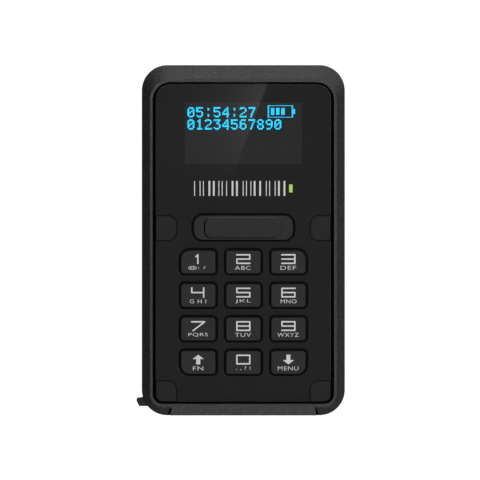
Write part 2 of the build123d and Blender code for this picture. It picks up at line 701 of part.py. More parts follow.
def make_engine_lamps():
    """Two round lamps beside the lens."""
    lamps = []
    for x in ENGINE_LED_XS:
        lamp = rod_along_y(x, engine_mid_z(), 1.5, ENGINE_FRONT - 2, ENGINE_FRONT - 1)
        lamps.append(lamp + Pos(x, ENGINE_FRONT - 1, engine_mid_z()) * Sphere(0.95))
    return Compound(children=lamps)


def make_engine_bracket():
    """The U-shaped bracket under the engine, with an ear on each side."""
    half_width = ENGINE_WIDTH / 2
    low = ENGINE_LOW - 1.0
    solid = block((-half_width - 1.1, half_width + 1.1), (38, 49.5), (low, ENGINE_LOW))
    for side in (-1, 1):
        wall_x = sorted([side * (half_width + 0.1), side * (half_width + 1.1)])
        solid += block(wall_x, (38, 49.5), (low, ENGINE_HIGH - 3))
        ear_x = sorted([side * (half_width + 1), side * 17.2])
        solid += block(ear_x, (41.5, 46.5), (low, ENGINE_LOW))
    for x, y in ENGINE_SCREWS:
        solid -= rod(x, y, 0.95, low - 1, ENGINE_LOW + 1)
    return solid


def make_engine_flex():
    """The flat cable from the engine's back up to its connector."""
    top = BOARD_Z - 0.5
    points = [(ENGINE_BACK, 11.5), (34.8, 11.5), (34.8, top), (33.2, top)]
    return ribbon(points, 0.6, 0.2, -4.0, 4.0)


def make_display_flex():
    """The flat cable from the display's glass down to its connector."""
    points = [(GLASS_LOW, 21.2), (15.6, 21.2), (15.0, 19.8), (13.2, 19.8)]
    return ribbon(points, 0.4, 0.16, -7.0, 7.0)


def make_flex_connectors():
    """One connector under the board for the engine, one on it for the display."""
    engine = block((-5.0, 5.0), (31.0, 33.2), (BOARD_Z - 1.0, BOARD_Z))
    display = block((-8.0, 8.0), (11.2, 13.2), (BOARD_TOP, BOARD_TOP + 1.0))
    return Compound(children=[engine, display])


def make_processor_shield():
    """The metal can over the processor: four walls and a lid."""
    solid = block((-9, 9), (15.5, 29.5), (BOARD_Z - 2.0, BOARD_Z))
    solid -= block((-8.75, 8.75), (15.75, 29.25), (BOARD_Z - 1.75, BOARD_Z + 1))
    return fillet(top_edges(solid, BOARD_Z - 2.0), 0.2)


def make_radio_module():
    """The short-range radio: a small board that carries a can."""
    solid = block((-24.0, -11.5), (16.0, 30.0), (BOARD_Z - 0.8, BOARD_Z))
    return solid + block((-23.5, -12.0), (16.5, 26.0), (BOARD_Z - 2.2, BOARD_Z - 0.7))


def make_battery():
    """The flat rechargeable cell."""
    low = FLOOR + BATTERY_PAD
    x_range = (-BATTERY_HALF_WIDTH, BATTERY_HALF_WIDTH)
    solid = block(x_range, (BATTERY_LOW, BATTERY_HIGH), (low, low + BATTERY_THICKNESS))
    return fillet(solid.edges().filter_by(Axis.Y), 1.6)


def make_battery_pad():
    """The foam under the battery."""
    x_range = (2 - BATTERY_HALF_WIDTH, BATTERY_HALF_WIDTH - 2)
    return block(x_range, (BATTERY_LOW + 2, BATTERY_HIGH - 2), (FLOOR, FLOOR + BATTERY_PAD))


def make_battery_connector():
    """The battery's connector, under the board."""
    return block((12.6, 18.6), (23.6, 27.4), (BOARD_Z - 3.0, BOARD_Z))


def make_battery_lead():
    """Two short wires from the battery up to its connector."""
    wires = []
    for x in (14.6, 16.6):
        route = FilletPolyline((x, BATTERY_HIGH, 6), (x, 25.5, 6), (x, 25.5, BOARD_Z - 3.0), radius=2.4)
        section = Plane(origin=(x, BATTERY_HIGH, 6), z_dir=(0, 1, 0)) * Circle(0.45)
        wires.append(sweep(section, path=route))
    return Compound(children=wires)


def make_buzzer():
    """The round buzzer, its sound hole toward the rear."""
    x, y = BUZZER_PLACE
    solid = rod(x, y, 4.8, BOARD_Z - 3.4, BOARD_Z)
    return solid - rod(x, y, 0.8, BOARD_Z - 4, BOARD_Z - 2.6)


def make_vibration_motor():
    """The coin-shaped vibration motor."""
    return rod(*MOTOR_PLACE, 4.0, BOARD_Z - 2.7, BOARD_Z)


def make_usb_socket():
    """The charging and data socket: a thin metal shell, open toward the bottom end."""
    solid = block((-3.95, 3.95), (-52.7, -47.0), (15.3, BOARD_Z))
    solid = fillet(solid.edges().filter_by(Axis.Y), 0.5)
    return solid - block((-3.6, 3.6), (-53, -48.0), (15.65, BOARD_Z - 0.35))


def make_usb_contacts():
    """The socket's tongue, which carries its contacts."""
    return block((-2.6, 2.6), (-52.0, -48.0), (16.4, 16.95))


def make_port_cover():
    """The hinged door over the socket: a flat plate on a barrel."""
    outer_y = -BODY_HALF_LENGTH + 0.05
    inner_y = outer_y + 1.2
    top = COVER_RECESS_HIGH - 0.2
    x_range = (-COVER_HALF_WIDTH, COVER_HALF_WIDTH)
    solid = block(x_range, (outer_y, inner_y), (HINGE_Z, top))
    solid = fillet(solid.edges().filter_by(Axis.Y).group_by(Axis.Z)[-1], 0.15)
    solid += rod_along_x(HINGE_Y, HINGE_Z, HINGE_BARREL, -COVER_HALF_WIDTH, COVER_HALF_WIDTH)
    solid -= rod_along_x(HINGE_Y, HINGE_Z, HINGE_PIN + 0.05, -10, 10)
    nail_nick = block((-2.5, 2.5), (outer_y - 1, outer_y + 0.5), (top - 0.9, top + 1))
    return solid - nail_nick


def make_port_seal():
    """The rubber plug on the door's inside."""
    face_y = -BODY_HALF_LENGTH + 1.25
    return end_slab(8.6, 2.7, 0.7, 16.95, face_y, face_y + 1.05)


def make_hinge_pin():
    """The door's pin."""
    reach = COVER_HALF_WIDTH + 1.1
    return rod_along_x(HINGE_Y, HINGE_Z, HINGE_PIN, -reach, reach)


def make_rear_label():
    """The blank rating label, set into the rear face."""
    return label_slab(0, 0.12, 0.3)


def save(name, solid):
    """Write one named sub-part."""
    export_step(solid, os.path.join("parts", name + ".step"))


os.makedirs("parts", exist_ok=True)
save("front_housing", make_front_housing())
save("rear_housing", make_rear_housing())
save("housing_seal", make_housing_seal())
save("front_panel", make_front_panel())
for side, side_name in ((-1, "left"), (1, "right")):
    for (cover_low, cover_high), place in zip(cover_spans(), ("side", "corner")):
        save(f"{place}_screw_cover_{side_name}", make_screw_cover(side, cover_low, cover_high))
save("display_window", make_display_window())
save("display_module", make_display_module())
save("display_frame", make_display_frame())
save("display_flex", make_display_flex())
save("scan_button", make_scan_button())
for row, names in enumerate(KEY_NAMES):
    for column, name in enumerate(names):
        save(name, make_key(row, column))
save("keypad_mat", make_keypad_mat())
save("contact_domes", make_contact_domes())
save("main_board", make_main_board())
save("flex_connectors", make_flex_connectors())
save("processor_shield", make_processor_shield())
save("radio_module", make_radio_module())
save("buzzer", make_buzzer())
save("vibration_motor", make_vibration_motor())
save("usb_socket", make_usb_socket())
save("usb_contacts", make_usb_contacts())
save("port_cover", make_port_cover())
save("port_seal", make_port_seal())
save("port_hinge_pin", make_hinge_pin())
save("battery", make_battery())
save("battery_pad", make_battery_pad())
save("battery_connector", make_battery_connector())
save("battery_lead", make_battery_lead())
save("scan_window", make_scan_window())
save("scan_window_seal", make_window_seal())
save("scan_engine", make_scan_engine())
save("engine_lens", make_engine_lens())
save("engine_lamps", make_engine_lamps())
save("engine_bracket", make_engine_bracket())
save("engine_flex", make_engine_flex())
save("rear_label", make_rear_label())
save("case_screws", make_case_screws())
save("threaded_inserts", make_threaded_inserts())
save("panel_screws", make_panel_screws())
save("board_screws", make_board_screws())
save("engine_screws", make_engine_screws())
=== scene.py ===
"""The looks of a handheld code reader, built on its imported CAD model. Metres, +Z out of the front face."""
import json
import math

import bmesh
import bpy
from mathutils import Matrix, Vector


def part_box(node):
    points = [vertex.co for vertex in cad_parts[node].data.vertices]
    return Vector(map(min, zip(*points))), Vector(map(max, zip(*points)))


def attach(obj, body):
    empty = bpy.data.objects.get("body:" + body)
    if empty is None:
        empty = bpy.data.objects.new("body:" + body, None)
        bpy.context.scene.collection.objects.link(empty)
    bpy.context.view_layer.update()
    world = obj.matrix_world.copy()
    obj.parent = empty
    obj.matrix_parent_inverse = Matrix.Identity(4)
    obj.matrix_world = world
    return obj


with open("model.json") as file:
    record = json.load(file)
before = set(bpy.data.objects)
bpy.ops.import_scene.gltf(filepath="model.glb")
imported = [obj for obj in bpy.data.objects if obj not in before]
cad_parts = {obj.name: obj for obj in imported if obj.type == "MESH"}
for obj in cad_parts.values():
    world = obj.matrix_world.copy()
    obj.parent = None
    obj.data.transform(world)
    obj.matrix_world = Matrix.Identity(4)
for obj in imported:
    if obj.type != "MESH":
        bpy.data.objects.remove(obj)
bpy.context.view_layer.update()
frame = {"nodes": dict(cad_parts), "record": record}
MM = 0.001

# ---------------------------------------------------------------- places read from the frame

HOUSING_LOW, HOUSING_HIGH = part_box("front_housing")
PANEL_LOW, PANEL_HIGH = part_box("front_panel")
WINDOW_LOW, WINDOW_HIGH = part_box("display_window")
LABEL_LOW, LABEL_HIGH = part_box("rear_label")
BUTTON_LOW, BUTTON_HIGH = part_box("scan_button")
GLASS_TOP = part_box("display_module")[1].z
KEY_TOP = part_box("key_0")[1].z

# ---------------------------------------------------------------- materials

# the Mix node's colour sockets, which share their names with its other kinds
MIX_A, MIX_B, MIX_RESULT = 6, 7, 2
# where nearly all of a noise texture's values lie
NOISE_LOW, NOISE_HIGH = 0.3, 0.7
# a flank's turn toward a direction at which the painted shade starts and ends, and how far it goes
TURN_START, TURN_END, TURN_SHARE = 0.04, 0.62, 0.92


class Finish:
    """A material under construction: its nodes, and short ways to add to them."""

    def __init__(self, name):
        self.material = bpy.data.materials.new(name)
        self.material.use_nodes = True
        self.tree = self.material.node_tree
        self.shader = self.tree.nodes["Principled BSDF"]
        self.place = self.add("ShaderNodeTexCoord").outputs["Object"]
        self.normal = None

    def add(self, kind, **settings):
        node = self.tree.nodes.new(kind)
        for key, value in settings.items():
            setattr(node, key, value)
        return node

    def link(self, source, target):
        self.tree.links.new(source, target)

    def noise(self, size, detail=2.0, stretch=(1, 1, 1)):
        """Noise whose features are about size metres across."""
        mapping = self.add("ShaderNodeMapping")
        mapping.inputs["Scale"].default_value = stretch
        texture = self.add("ShaderNodeTexNoise")
        texture.inputs["Scale"].default_value = 1 / size
        texture.inputs["Detail"].default_value = detail
        self.link(self.place, mapping.inputs["Vector"])
        self.link(mapping.outputs["Vector"], texture.inputs["Vector"])
        return texture.outputs["Fac"]

    def ramp(self, source, *stops):
        """A colour for each level of source: stops are (level, colour)."""
        node = self.add("ShaderNodeValToRGB")
        elements = node.color_ramp.elements
        while len(elements) < len(stops):
            elements.new(0.5)
        for element, (level, colour) in zip(elements, stops):
            element.position = level
            element.color = (*colour, 1)
        self.link(source, node.inputs["Fac"])
        return node.outputs["Color"]

    def spread(self, source, low, high):
        """source, taken from its usual middle range to low..high."""
        node = self.add("ShaderNodeMapRange")
        node.inputs["From Min"].default_value = NOISE_LOW
        node.inputs["From Max"].default_value = NOISE_HIGH
        node.inputs["To Min"].default_value = low
        node.inputs["To Max"].default_value = high
        self.link(source, node.inputs["Value"])
        return node.outputs["Result"]

    def bump(self, source, depth):
        """Relief of that depth, over any relief already there."""
        node = self.add("ShaderNodeBump")
        node.inputs["Distance"].default_value = depth
        node.inputs["Strength"].default_value = 1.0
        self.link(source, node.inputs["Height"])
        if self.normal is not None:
            self.link(self.normal, node.inputs["Normal"])
        self.normal = node.outputs["Normal"]
        self.link(self.normal, self.shader.inputs["Normal"])

    def mix_base(self, factor, first, second):
        """The base colour goes from first to second with factor; None stands for the colour it has now."""
        base = self.shader.inputs["Base Color"]
        mix = self.add("ShaderNodeMix", data_type="RGBA")
        self.link(factor, mix.inputs["Factor"])
        for socket, colour in ((MIX_A, first), (MIX_B, second)):
            if colour is None:
                self.link(base.links[0].from_socket, mix.inputs[socket])
            else:
                mix.inputs[socket].default_value = (*colour, 1)
        self.link(mix.outputs[MIX_RESULT], base)
        return self

    def paint_shade_below(self, height, colour, depth=0.15 * MM):
        """Painted shade down the walls below a top: colour takes over within depth below height."""
        split = self.add("ShaderNodeSeparateXYZ")
        self.link(self.place, split.inputs["Vector"])
        level = self.add("ShaderNodeMapRange")
        level.inputs["From Min"].default_value = height - depth
        level.inputs["From Max"].default_value = height
        self.link(split.outputs["Z"], level.inputs["Value"])
        return self.mix_base(level.outputs["Result"], colour, None)

    def paint_shade_toward(self, direction, colour):
        """Painted shade: flanks that turn toward direction go from their own colour to a darker one."""
        turn = self.add("ShaderNodeVectorMath", operation="DOT_PRODUCT")
        self.link(self.add("ShaderNodeTexCoord").outputs["Normal"], turn.inputs[0])
        turn.inputs[1].default_value = direction
        level = self.add("ShaderNodeMapRange")
        level.inputs["From Min"].default_value = TURN_START
        level.inputs["From Max"].default_value = TURN_END
        level.inputs["To Max"].default_value = TURN_SHARE
        self.link(turn.outputs["Value"], level.inputs["Value"])
        return self.mix_base(level.outputs["Result"], None, colour)

    def give_way(self, factor, colour=(1, 1, 1)):
        """Clear, with that tint, where factor is 1."""
        clear = self.add("ShaderNodeBsdfTransparent")
        clear.inputs["Color"].default_value = (*colour, 1)
        mix = self.add("ShaderNodeMixShader")
        self.link(factor, mix.inputs["Fac"])
        self.link(self.shader.outputs["BSDF"], mix.inputs[1])
        self.link(clear.outputs["BSDF"], mix.inputs[2])
        self.link(mix.outputs["Shader"], self.tree.nodes["Material Output"].inputs["Surface"])

    def set(self, **values):
        """Uniform values, set on the shader itself."""
        for key, value in values.items():
            self.shader.inputs[key.replace("_", " ")].default_value = value

    def colour(self, source):
        self.link(source, self.shader.inputs["Base Color"])

    def roughness(self, source):
        self.link(source, self.shader.inputs["Roughness"])


def grey(level):
    """A grey that leans a little toward blue."""
    return (level, level, level * 1.03)


def scaled(colour, factor):
    return tuple(channel * factor for channel in colour)


GRAIN_SIZE, GRAIN_DEPTH, GRAIN_SPECKS, GRAIN_GLOSS = 0.4 * MM, 0.1 * MM, 0.6, 0.385
# near-black colour for painted shade in grooves and on shaded flanks
PAINTED_SHADE_BLACK = grey(0.001)
CYAN = (0.001, 0.6, 0.95)
GLASS_IOR = 1.49


def moulded(name, colour, roughness, grain, depth, specks=0.08, gloss=0.5):
    """Moulded plastic: a fine grain, slow changes of gloss, and specks that catch the light."""
    finish = Finish(name)
    fine = finish.noise(grain, detail=1.0)
    broad = finish.noise(14 * MM, detail=3.0)
    dark, bright = scaled(colour, 1.0 - specks / 2), scaled(colour, 1.0 + specks)
    finish.colour(finish.ramp(fine, (0.36, dark), (0.5, colour), (0.64, bright)))
    finish.roughness(finish.spread(broad, roughness - 0.03, roughness + 0.03))
    finish.bump(fine, depth)
    finish.set(Specular_IOR_Level=gloss)
    return finish


def metal(name, colour, roughness, brushed=(1, 1, 1)):
    """Metal with a drawn or tumbled surface."""
    finish = Finish(name)
    lines = finish.noise(0.4 * MM, detail=4.0, stretch=brushed)
    broad = finish.noise(6 * MM, detail=2.0)
    finish.colour(finish.ramp(broad, (0.35, scaled(colour, 0.88)), (0.65, colour)))
    finish.roughness(finish.spread(lines, roughness - 0.07, roughness + 0.1))
    finish.bump(lines, 0.004 * MM)
    finish.set(Metallic=1.0)
    return finish


def glass(name, colour, roughness):
    """Clear or tinted plate, with the faintest smears. Light and shade pass through to what is behind it."""
    finish = Finish(name)
    broad = finish.noise(9 * MM, detail=3.0)
    finish.colour(finish.ramp(broad, (0.35, scaled(colour, 0.97)), (0.65, colour)))
    finish.roughness(finish.spread(broad, roughness, roughness + 0.02))
    finish.set(Transmission_Weight=1.0, IOR=GLASS_IOR)
    path = finish.add("ShaderNodeLightPath")
    either = finish.add("ShaderNodeMath", operation="MAXIMUM")
    finish.link(path.outputs["Is Shadow Ray"], either.inputs[0])
    finish.link(path.outputs["Is Diffuse Ray"], either.inputs[1])
    finish.give_way(either.outputs["Value"], colour)
    return finish


def smoked_glass(name, colour, share, roughness):
    """A dark window: a share of it lets light through, and the rest is its own grey."""
    finish = Finish(name)
    broad = finish.noise(9 * MM, detail=3.0)
    finish.colour(finish.ramp(broad, (0.35, scaled(colour, 0.98)), (0.65, colour)))
    finish.roughness(finish.spread(broad, roughness, roughness * 3))
    finish.set(Transmission_Weight=share, IOR=GLASS_IOR)
    return finish


def make_panel_material():
    """Glossy black plastic: nearly smooth, with faint hairline scratches, and painted shade, near black, down
    the walls just under its face.
    """
    finish = Finish("panel_gloss")
    broad = finish.noise(22 * MM, detail=3.0)
    scratches = finish.noise(1.2 * MM, detail=5.0, stretch=(0.25, 5.0, 1.0))
    finish.colour(finish.ramp(broad, (0.3, grey(0.0216)), (0.7, grey(0.0226))))
    finish.roughness(finish.spread(scratches, 0.03, 0.05))
    finish.bump(scratches, 0.0004 * MM)
    # painted shade: the walls of the panel's openings and edges go near black just under its face
    finish.paint_shade_below(PANEL_HIGH.z - 0.1 * MM, PAINTED_SHADE_BLACK)
    return finish


def eroded(name, level, roughness):
    """Spark-eroded black plastic with a fine, speckled grain."""
    return moulded(name, grey(level), roughness, GRAIN_SIZE, GRAIN_DEPTH, GRAIN_SPECKS, GRAIN_GLOSS)


def make_housing_material():
    """The shells' grain, with a broader, shallower relief over it."""
    finish = eroded("housing_grain", 0.0255, 0.42)
    finish.bump(finish.noise(0.9 * MM, detail=2.0), 0.015 * MM)
    return finish


def make_lit_material(name, strength):
    """Lit cells of the display, a little uneven."""
    finish = Finish(name)
    flicker = finish.noise(0.9 * MM, detail=1.0)
    tint = finish.ramp(flicker, (0.3, scaled(CYAN, 0.94)), (0.7, CYAN))
    finish.colour(tint)
    finish.link(tint, finish.shader.inputs["Emission Color"])
    finish.set(Emission_Strength=strength, Roughness=0.5)
    return finish


def make_ink_material(name, colour):
    """Printed ink, a little uneven."""
    finish = Finish(name)
    mottle = finish.noise(0.3 * MM, detail=3.0)
    finish.colour(finish.ramp(mottle, (0.3, scaled(colour, 0.93)), (0.7, colour)))
    finish.roughness(finish.spread(mottle, 0.45, 0.6))
    finish.bump(mottle, 0.002 * MM)
    return finish


def satin_cap(name, level, top):
    """Satin paint on a cap's top, and painted shade, near black, down its sides."""
    finish = moulded(name, grey(level), 0.45, 0.1 * MM, 0.003 * MM, gloss=0.12)
    # painted shade: the sides below the top go near black
    return finish.paint_shade_below(top - 0.03 * MM, PAINTED_SHADE_BLACK, depth=0.1 * MM)


def make_board_material():
    """Green solder mask over copper tracks."""
    finish = Finish("solder_mask")
    tracks = finish.add("ShaderNodeTexBrick")
    tracks.inputs["Scale"].default_value = 260
    tracks.inputs["Mortar Size"].default_value = 0.03
    tracks.inputs["Color1"].default_value = (0.012, 0.09, 0.045, 1)
    tracks.inputs["Color2"].default_value = (0.01, 0.075, 0.038, 1)
    tracks.inputs["Mortar"].default_value = (0.03, 0.17, 0.08, 1)
    finish.link(finish.place, tracks.inputs["Vector"])
    finish.colour(tracks.outputs["Color"])
    finish.roughness(finish.spread(finish.noise(3 * MM), 0.2, 0.32))
    finish.bump(tracks.outputs["Fac"], 0.02 * MM)
    return finish


def make_foam_material():
    """Open-cell foam."""
    finish = Finish("black_foam")
    cells = finish.add("ShaderNodeTexVoronoi")
    cells.inputs["Scale"].default_value = 1 / (0.35 * MM)
    finish.link(finish.place, cells.inputs["Vector"])
    finish.colour(finish.ramp(cells.outputs["Distance"], (0.1, grey(0.01)), (0.7, grey(0.035))))
    finish.bump(cells.outputs["Distance"], 0.08 * MM)
    finish.set(Roughness=0.95)
    return finish


MATERIALS = {
    "housing": make_housing_material(),
    "panel": make_panel_material(),
    # the button's flanks that face left and down get painted shade
    "button": satin_cap("button_satin", 0.0250, KEY_TOP).paint_shade_toward((-1, -0.5, 0), PAINTED_SHADE_BLACK),
    "key": satin_cap("key_satin", 0.0252, KEY_TOP),
    "cover": satin_cap("cover_satin", 0.0160, PANEL_HIGH.z),
    "door": eroded("door_grain", 0.025, 0.45),
    "window": smoked_glass("window_smoked", grey(0.108), 0.7, 0.004),
    "display": moulded("display_glass", grey(0.0224), 0.5, 0.5 * MM, 0.0002 * MM, gloss=0.05),
    "seal_rubber": moulded("seal_rubber", grey(0.012), 0.7, 0.2 * MM, 0.01 * MM),
    "silicone": moulded("mat_silicone", grey(0.0015), 0.8, 0.4 * MM, 0.01 * MM, gloss=0.1),
    "foam": make_foam_material(),
    "inner_plastic": moulded("inner_plastic", grey(0.04), 0.5, 0.3 * MM, 0.008 * MM),
    "chip": moulded("chip_plastic", grey(0.022), 0.55, 0.12 * MM, 0.006 * MM),
    "connector_white": moulded("connector_plastic", (0.68, 0.65, 0.57), 0.5, 0.3 * MM, 0.005 * MM),
    "board": make_board_material(),
    "can_steel": metal("can_steel", (0.6, 0.6, 0.61), 0.34, brushed=(1, 12, 12)),
    "steel": metal("screw_steel", (0.3, 0.3, 0.31), 0.36),
    "brass": metal("insert_brass", (0.72, 0.5, 0.2), 0.3, brushed=(12, 12, 1)),
    "flex": moulded("flex_film", (0.42, 0.17, 0.03), 0.25, 0.6 * MM, 0.002 * MM),
    "wire": moulded("wire_jacket", (0.4, 0.02, 0.02), 0.4, 0.2 * MM, 0.002 * MM),
    "battery_foil": metal("battery_foil", (0.7, 0.71, 0.73), 0.4),
    "scan_glass": glass("scan_window_red", (0.5, 0.02, 0.025), 0.03),
    "lens": glass("engine_lens", (0.75, 0.82, 0.95), 0.01),
    "lamp": glass("engine_lamp", (0.95, 0.9, 0.6), 0.05),
    "label": moulded("label_film", grey(0.5), 0.38, 0.3 * MM, 0.002 * MM),
}
INK = make_ink_material("white_ink", (0.72, 0.72, 0.72)).material
ACCENT_INK = make_ink_material("green_ink", (0.55, 0.77, 0.14)).material
LIT = make_lit_material("display_light", strength=41.0).material
DIM_LIT = make_lit_material("battery_light", strength=23.5).material


def dress_frame():
    """Gives every CAD node its finish."""
    slots = {part["node"]: part["material_slot"] for part in frame["record"]["subparts"]}
    for name, piece in frame["nodes"].items():
        for material_slot in piece.material_slots:
            material_slot.material = MATERIALS[slots[name]].material


# ---------------------------------------------------------------- flat shapes, for print and light


def new_piece(name, mesh, material, body):
    """A mesh piece that rides on a body and takes a slot's finish."""
    piece = bpy.data.objects.new(name, mesh)
    bpy.context.scene.collection.objects.link(piece)
    mesh.materials.clear()
    mesh.materials.append(material)
    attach(piece, body)


def raised(name, outlines, z, height, material, body):
    """Flat outlines, in metres, drawn up from z as closed slabs."""
    shape = bmesh.new()
    for outline in outlines:
        base = [shape.verts.new((x, y, z)) for x, y in outline]
        top = [shape.verts.new((x, y, z + height)) for x, y in outline]
        shape.faces.new(list(reversed(base)))
        shape.faces.new(top)
        for i, corner in enumerate(base):
            j = (i + 1) % len(base)
            shape.faces.new((corner, base[j], top[j], top[i]))
    bmesh.ops.recalc_face_normals(shape, faces=shape.faces)
    mesh = bpy.data.meshes.new(name)
    shape.to_mesh(mesh)
    shape.free()
    new_piece(name, mesh, material, body)


def box_outline(left, low, right, high):
    return [(left, low), (right, low), (right, high), (left, high)]


BEND_STEPS = 5


def stroke_outline(points, half):
    """The outline of a pen stroke along points, half wide each way, rounded on the outside of each bend."""
    points = [Vector(p) for p in points]
    sides = {1: [], -1: []}
    for i, point in enumerate(points):
        arriving = (point - points[i - 1]).normalized() if i else None
        leaving = (points[i + 1] - point).normalized() if i + 1 < len(points) else None
        first = (arriving or leaving).orthogonal()
        last = (leaving or arriving).orthogonal()
        turn = 0 if arriving is None or leaving is None else arriving.cross(leaving)
        for side, line in sides.items():
            if turn * side > 0:
                mitre = (first + last).normalized()
                line.append(point + side * mitre * half / mitre.dot(first))
            elif not turn:
                line.append(point + side * first * half)
            else:
                for step in range(BEND_STEPS + 1):
                    line.append(point + side * first.lerp(last, step / BEND_STEPS).normalized() * half)
    return [tuple(p) for p in sides[1] + sides[-1][::-1]]


# ---------------------------------------------------------------- key legends

LEGEND_THICKNESS = 0.02 * MM
DIGIT_WIDTH = 4.06 * MM
DIGIT_HEIGHT = 2.68 * MM
DIGIT_RISE = 0.95 * MM
HALF_PEN = 0.228 * MM
ARROW_SHAFT = 0.64 * MM
ARROW_BARB = 1.73 * MM
ARROW_REACH = 1.54 * MM
ARROW_NECK = 0.19 * MM
ARROW_BARB_CUT = 0.07 * MM
WORD_DROP = 1.82 * MM
WORD_HEIGHT = 1.22 * MM
WORD_SIZE = 2 * MM
WORD_SPACING = 1.1
WORD_THINNING = -0.014 * MM
WORD_TALLEST = 1.25


def digit_strokes(digit):
    """A digit's pen strokes, on a box from 0 to 1 each way. A stroke that meets another stops at its edge."""
    w = HALF_PEN / DIGIT_WIDTH
    left_half = [(0.5, 1), (0, 1), (0, 0), (0.5, 0)]
    right_half = [(0.5, 1), (1, 1), (1, 0), (0.5, 0)]
    return {
        "0": [left_half, right_half],
        "1": [[(0.3, 0.74), (0.47, 1), (0.47, -0.085)]],
        "2": [[(-w, 1), (1, 1), (1, 0.5), (0, 0.5), (0, 0), (1 + w, 0)]],
        "3": [[(-w, 1), (1, 1), (1, 0), (-w, 0)], [(-w, 0.5), (1 - w, 0.5)]],
        "4": [[(0, 1.11), (0, 0.5), (0.92 - w, 0.5)], [(0.92, 1.11), (0.92, -0.11)]],
        "5": [[(1 + w, 1), (0, 1), (0, 0.5), (1, 0.5), (1, 0), (-w, 0)]],
        "6": [[(1 + w, 1), (0, 1), (0, 0), (1, 0), (1, 0.5), (w, 0.5)]],
        "7": [[(-w, 1), (1, 1), (0.06, -0.08)]],
        "8": [left_half, right_half, [(w, 0.5), (1 - w, 0.5)]],
        "9": [[(-w, 0), (1, 0), (1, 1), (0, 1), (0, 0.5), (1 - w, 0.5)]],
    }[digit]


def arrow_outline(sign):
    """A broad arrow that points up or down."""
    half = [
        (0, ARROW_REACH),
        (ARROW_BARB, ARROW_NECK),
        (ARROW_BARB * 0.9, ARROW_NECK - ARROW_BARB_CUT),
        (ARROW_SHAFT, ARROW_NECK),
        (ARROW_SHAFT, -ARROW_REACH),
    ]
    whole = half + [(-x, y) for x, y in reversed(half[1:])]
    return [(x, sign * y) for x, y in whole]


def moved(outline, x, y):
    return [(px + x, py + y) for px, py in outline]


def word_mesh(name, text, width, height, centre, z):
    """A short word as a thin mesh, fitted to a width and a cap height."""
    curve = bpy.data.curves.new(name, "FONT")
    curve.body = text
    curve.size = WORD_SIZE
    curve.offset = WORD_THINNING if text.replace(" ", "").isalpha() else 0.0
    curve.extrude = LEGEND_THICKNESS / 2
    curve.space_character = WORD_SPACING
    source = bpy.data.objects.new(name + "_source", curve)
    bpy.context.scene.collection.objects.link(source)
    bpy.context.view_layer.update()
    evaluated = source.evaluated_get(bpy.context.evaluated_depsgraph_get())
    mesh = bpy.data.meshes.new_from_object(evaluated)
    bpy.data.objects.remove(source)
    xs = [vertex.co.x for vertex in mesh.vertices]
    ys = [vertex.co.y for vertex in mesh.vertices]
    scale_x = width / (max(xs) - min(xs))
    scale_y = min(height / (max(ys) - min(ys)), scale_x * WORD_TALLEST)
    middle = (max(xs) + min(xs)) / 2
    for vertex in mesh.vertices:
        x = (vertex.co.x - middle) * scale_x + centre[0]
        y = (vertex.co.y - min(ys)) * scale_y + centre[1] - height / 2
        vertex.co = (x, y, z + vertex.co.z)
    mesh.name = name
    return mesh


# each key's small word, its width and its shift to the right, in millimetres
WORDS = {
    "key_1": ("@: /", 5.4, -0.4), "key_2": ("ABC", 4.95, -0.15), "key_3": ("DEF", 4.9, -0.05),
    "key_4": ("G H I", 5.1, -0.1), "key_5": ("JKL", 4.9, -0.05), "key_6": ("MNO", 5.0, 0.05),
    "key_7": ("PQRS", 6.1, -0.05), "key_8": ("TUV", 5.0, -0.1), "key_9": ("WXYZ", 6.7, -0.1),
    "key_fn": ("FN", 3.2, -0.05), "key_0": (". , ? !", 4.5, 0.0), "key_menu": ("MENU", 6.5, -0.1),
}


def make_key_legend(key):
    """A key's big sign and the small word under it, printed on its top."""
    low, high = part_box(key)
    x, y, top = (low.x + high.x) / 2, (low.y + high.y) / 2, high.z
    sign = key.split("_")[1]
    if sign in ("fn", "menu"):
        outlines = [moved(arrow_outline(1 if sign == "fn" else -1), x, y + DIGIT_RISE)]
    else:
        corner = (x - DIGIT_WIDTH / 2, y + DIGIT_RISE - DIGIT_HEIGHT / 2)
        outlines = []
        for stroke in digit_strokes(sign):
            path = [(px * DIGIT_WIDTH, py * DIGIT_HEIGHT) for px, py in stroke]
            outlines.append(stroke_outline(moved(path, *corner), HALF_PEN))
    raised(key + "_sign", outlines, top - LEGEND_THICKNESS / 2, LEGEND_THICKNESS, INK, key)
    text, width, shift = WORDS[key]
    name = key + "_word"
    mesh = word_mesh(name, text, width * MM, WORD_HEIGHT, (x + shift * MM, y - WORD_DROP), top)
    new_piece(name, mesh, INK, key)


# ---------------------------------------------------------------- display

CELL = 0.274 * MM
LIT_SHARE = 0.76
LIT_SINK = 0.005 * MM
LIT_THICKNESS = 0.02 * MM
TEXT_LEFT = 17.57 * MM
TEXT_TOP = 8.84 * MM
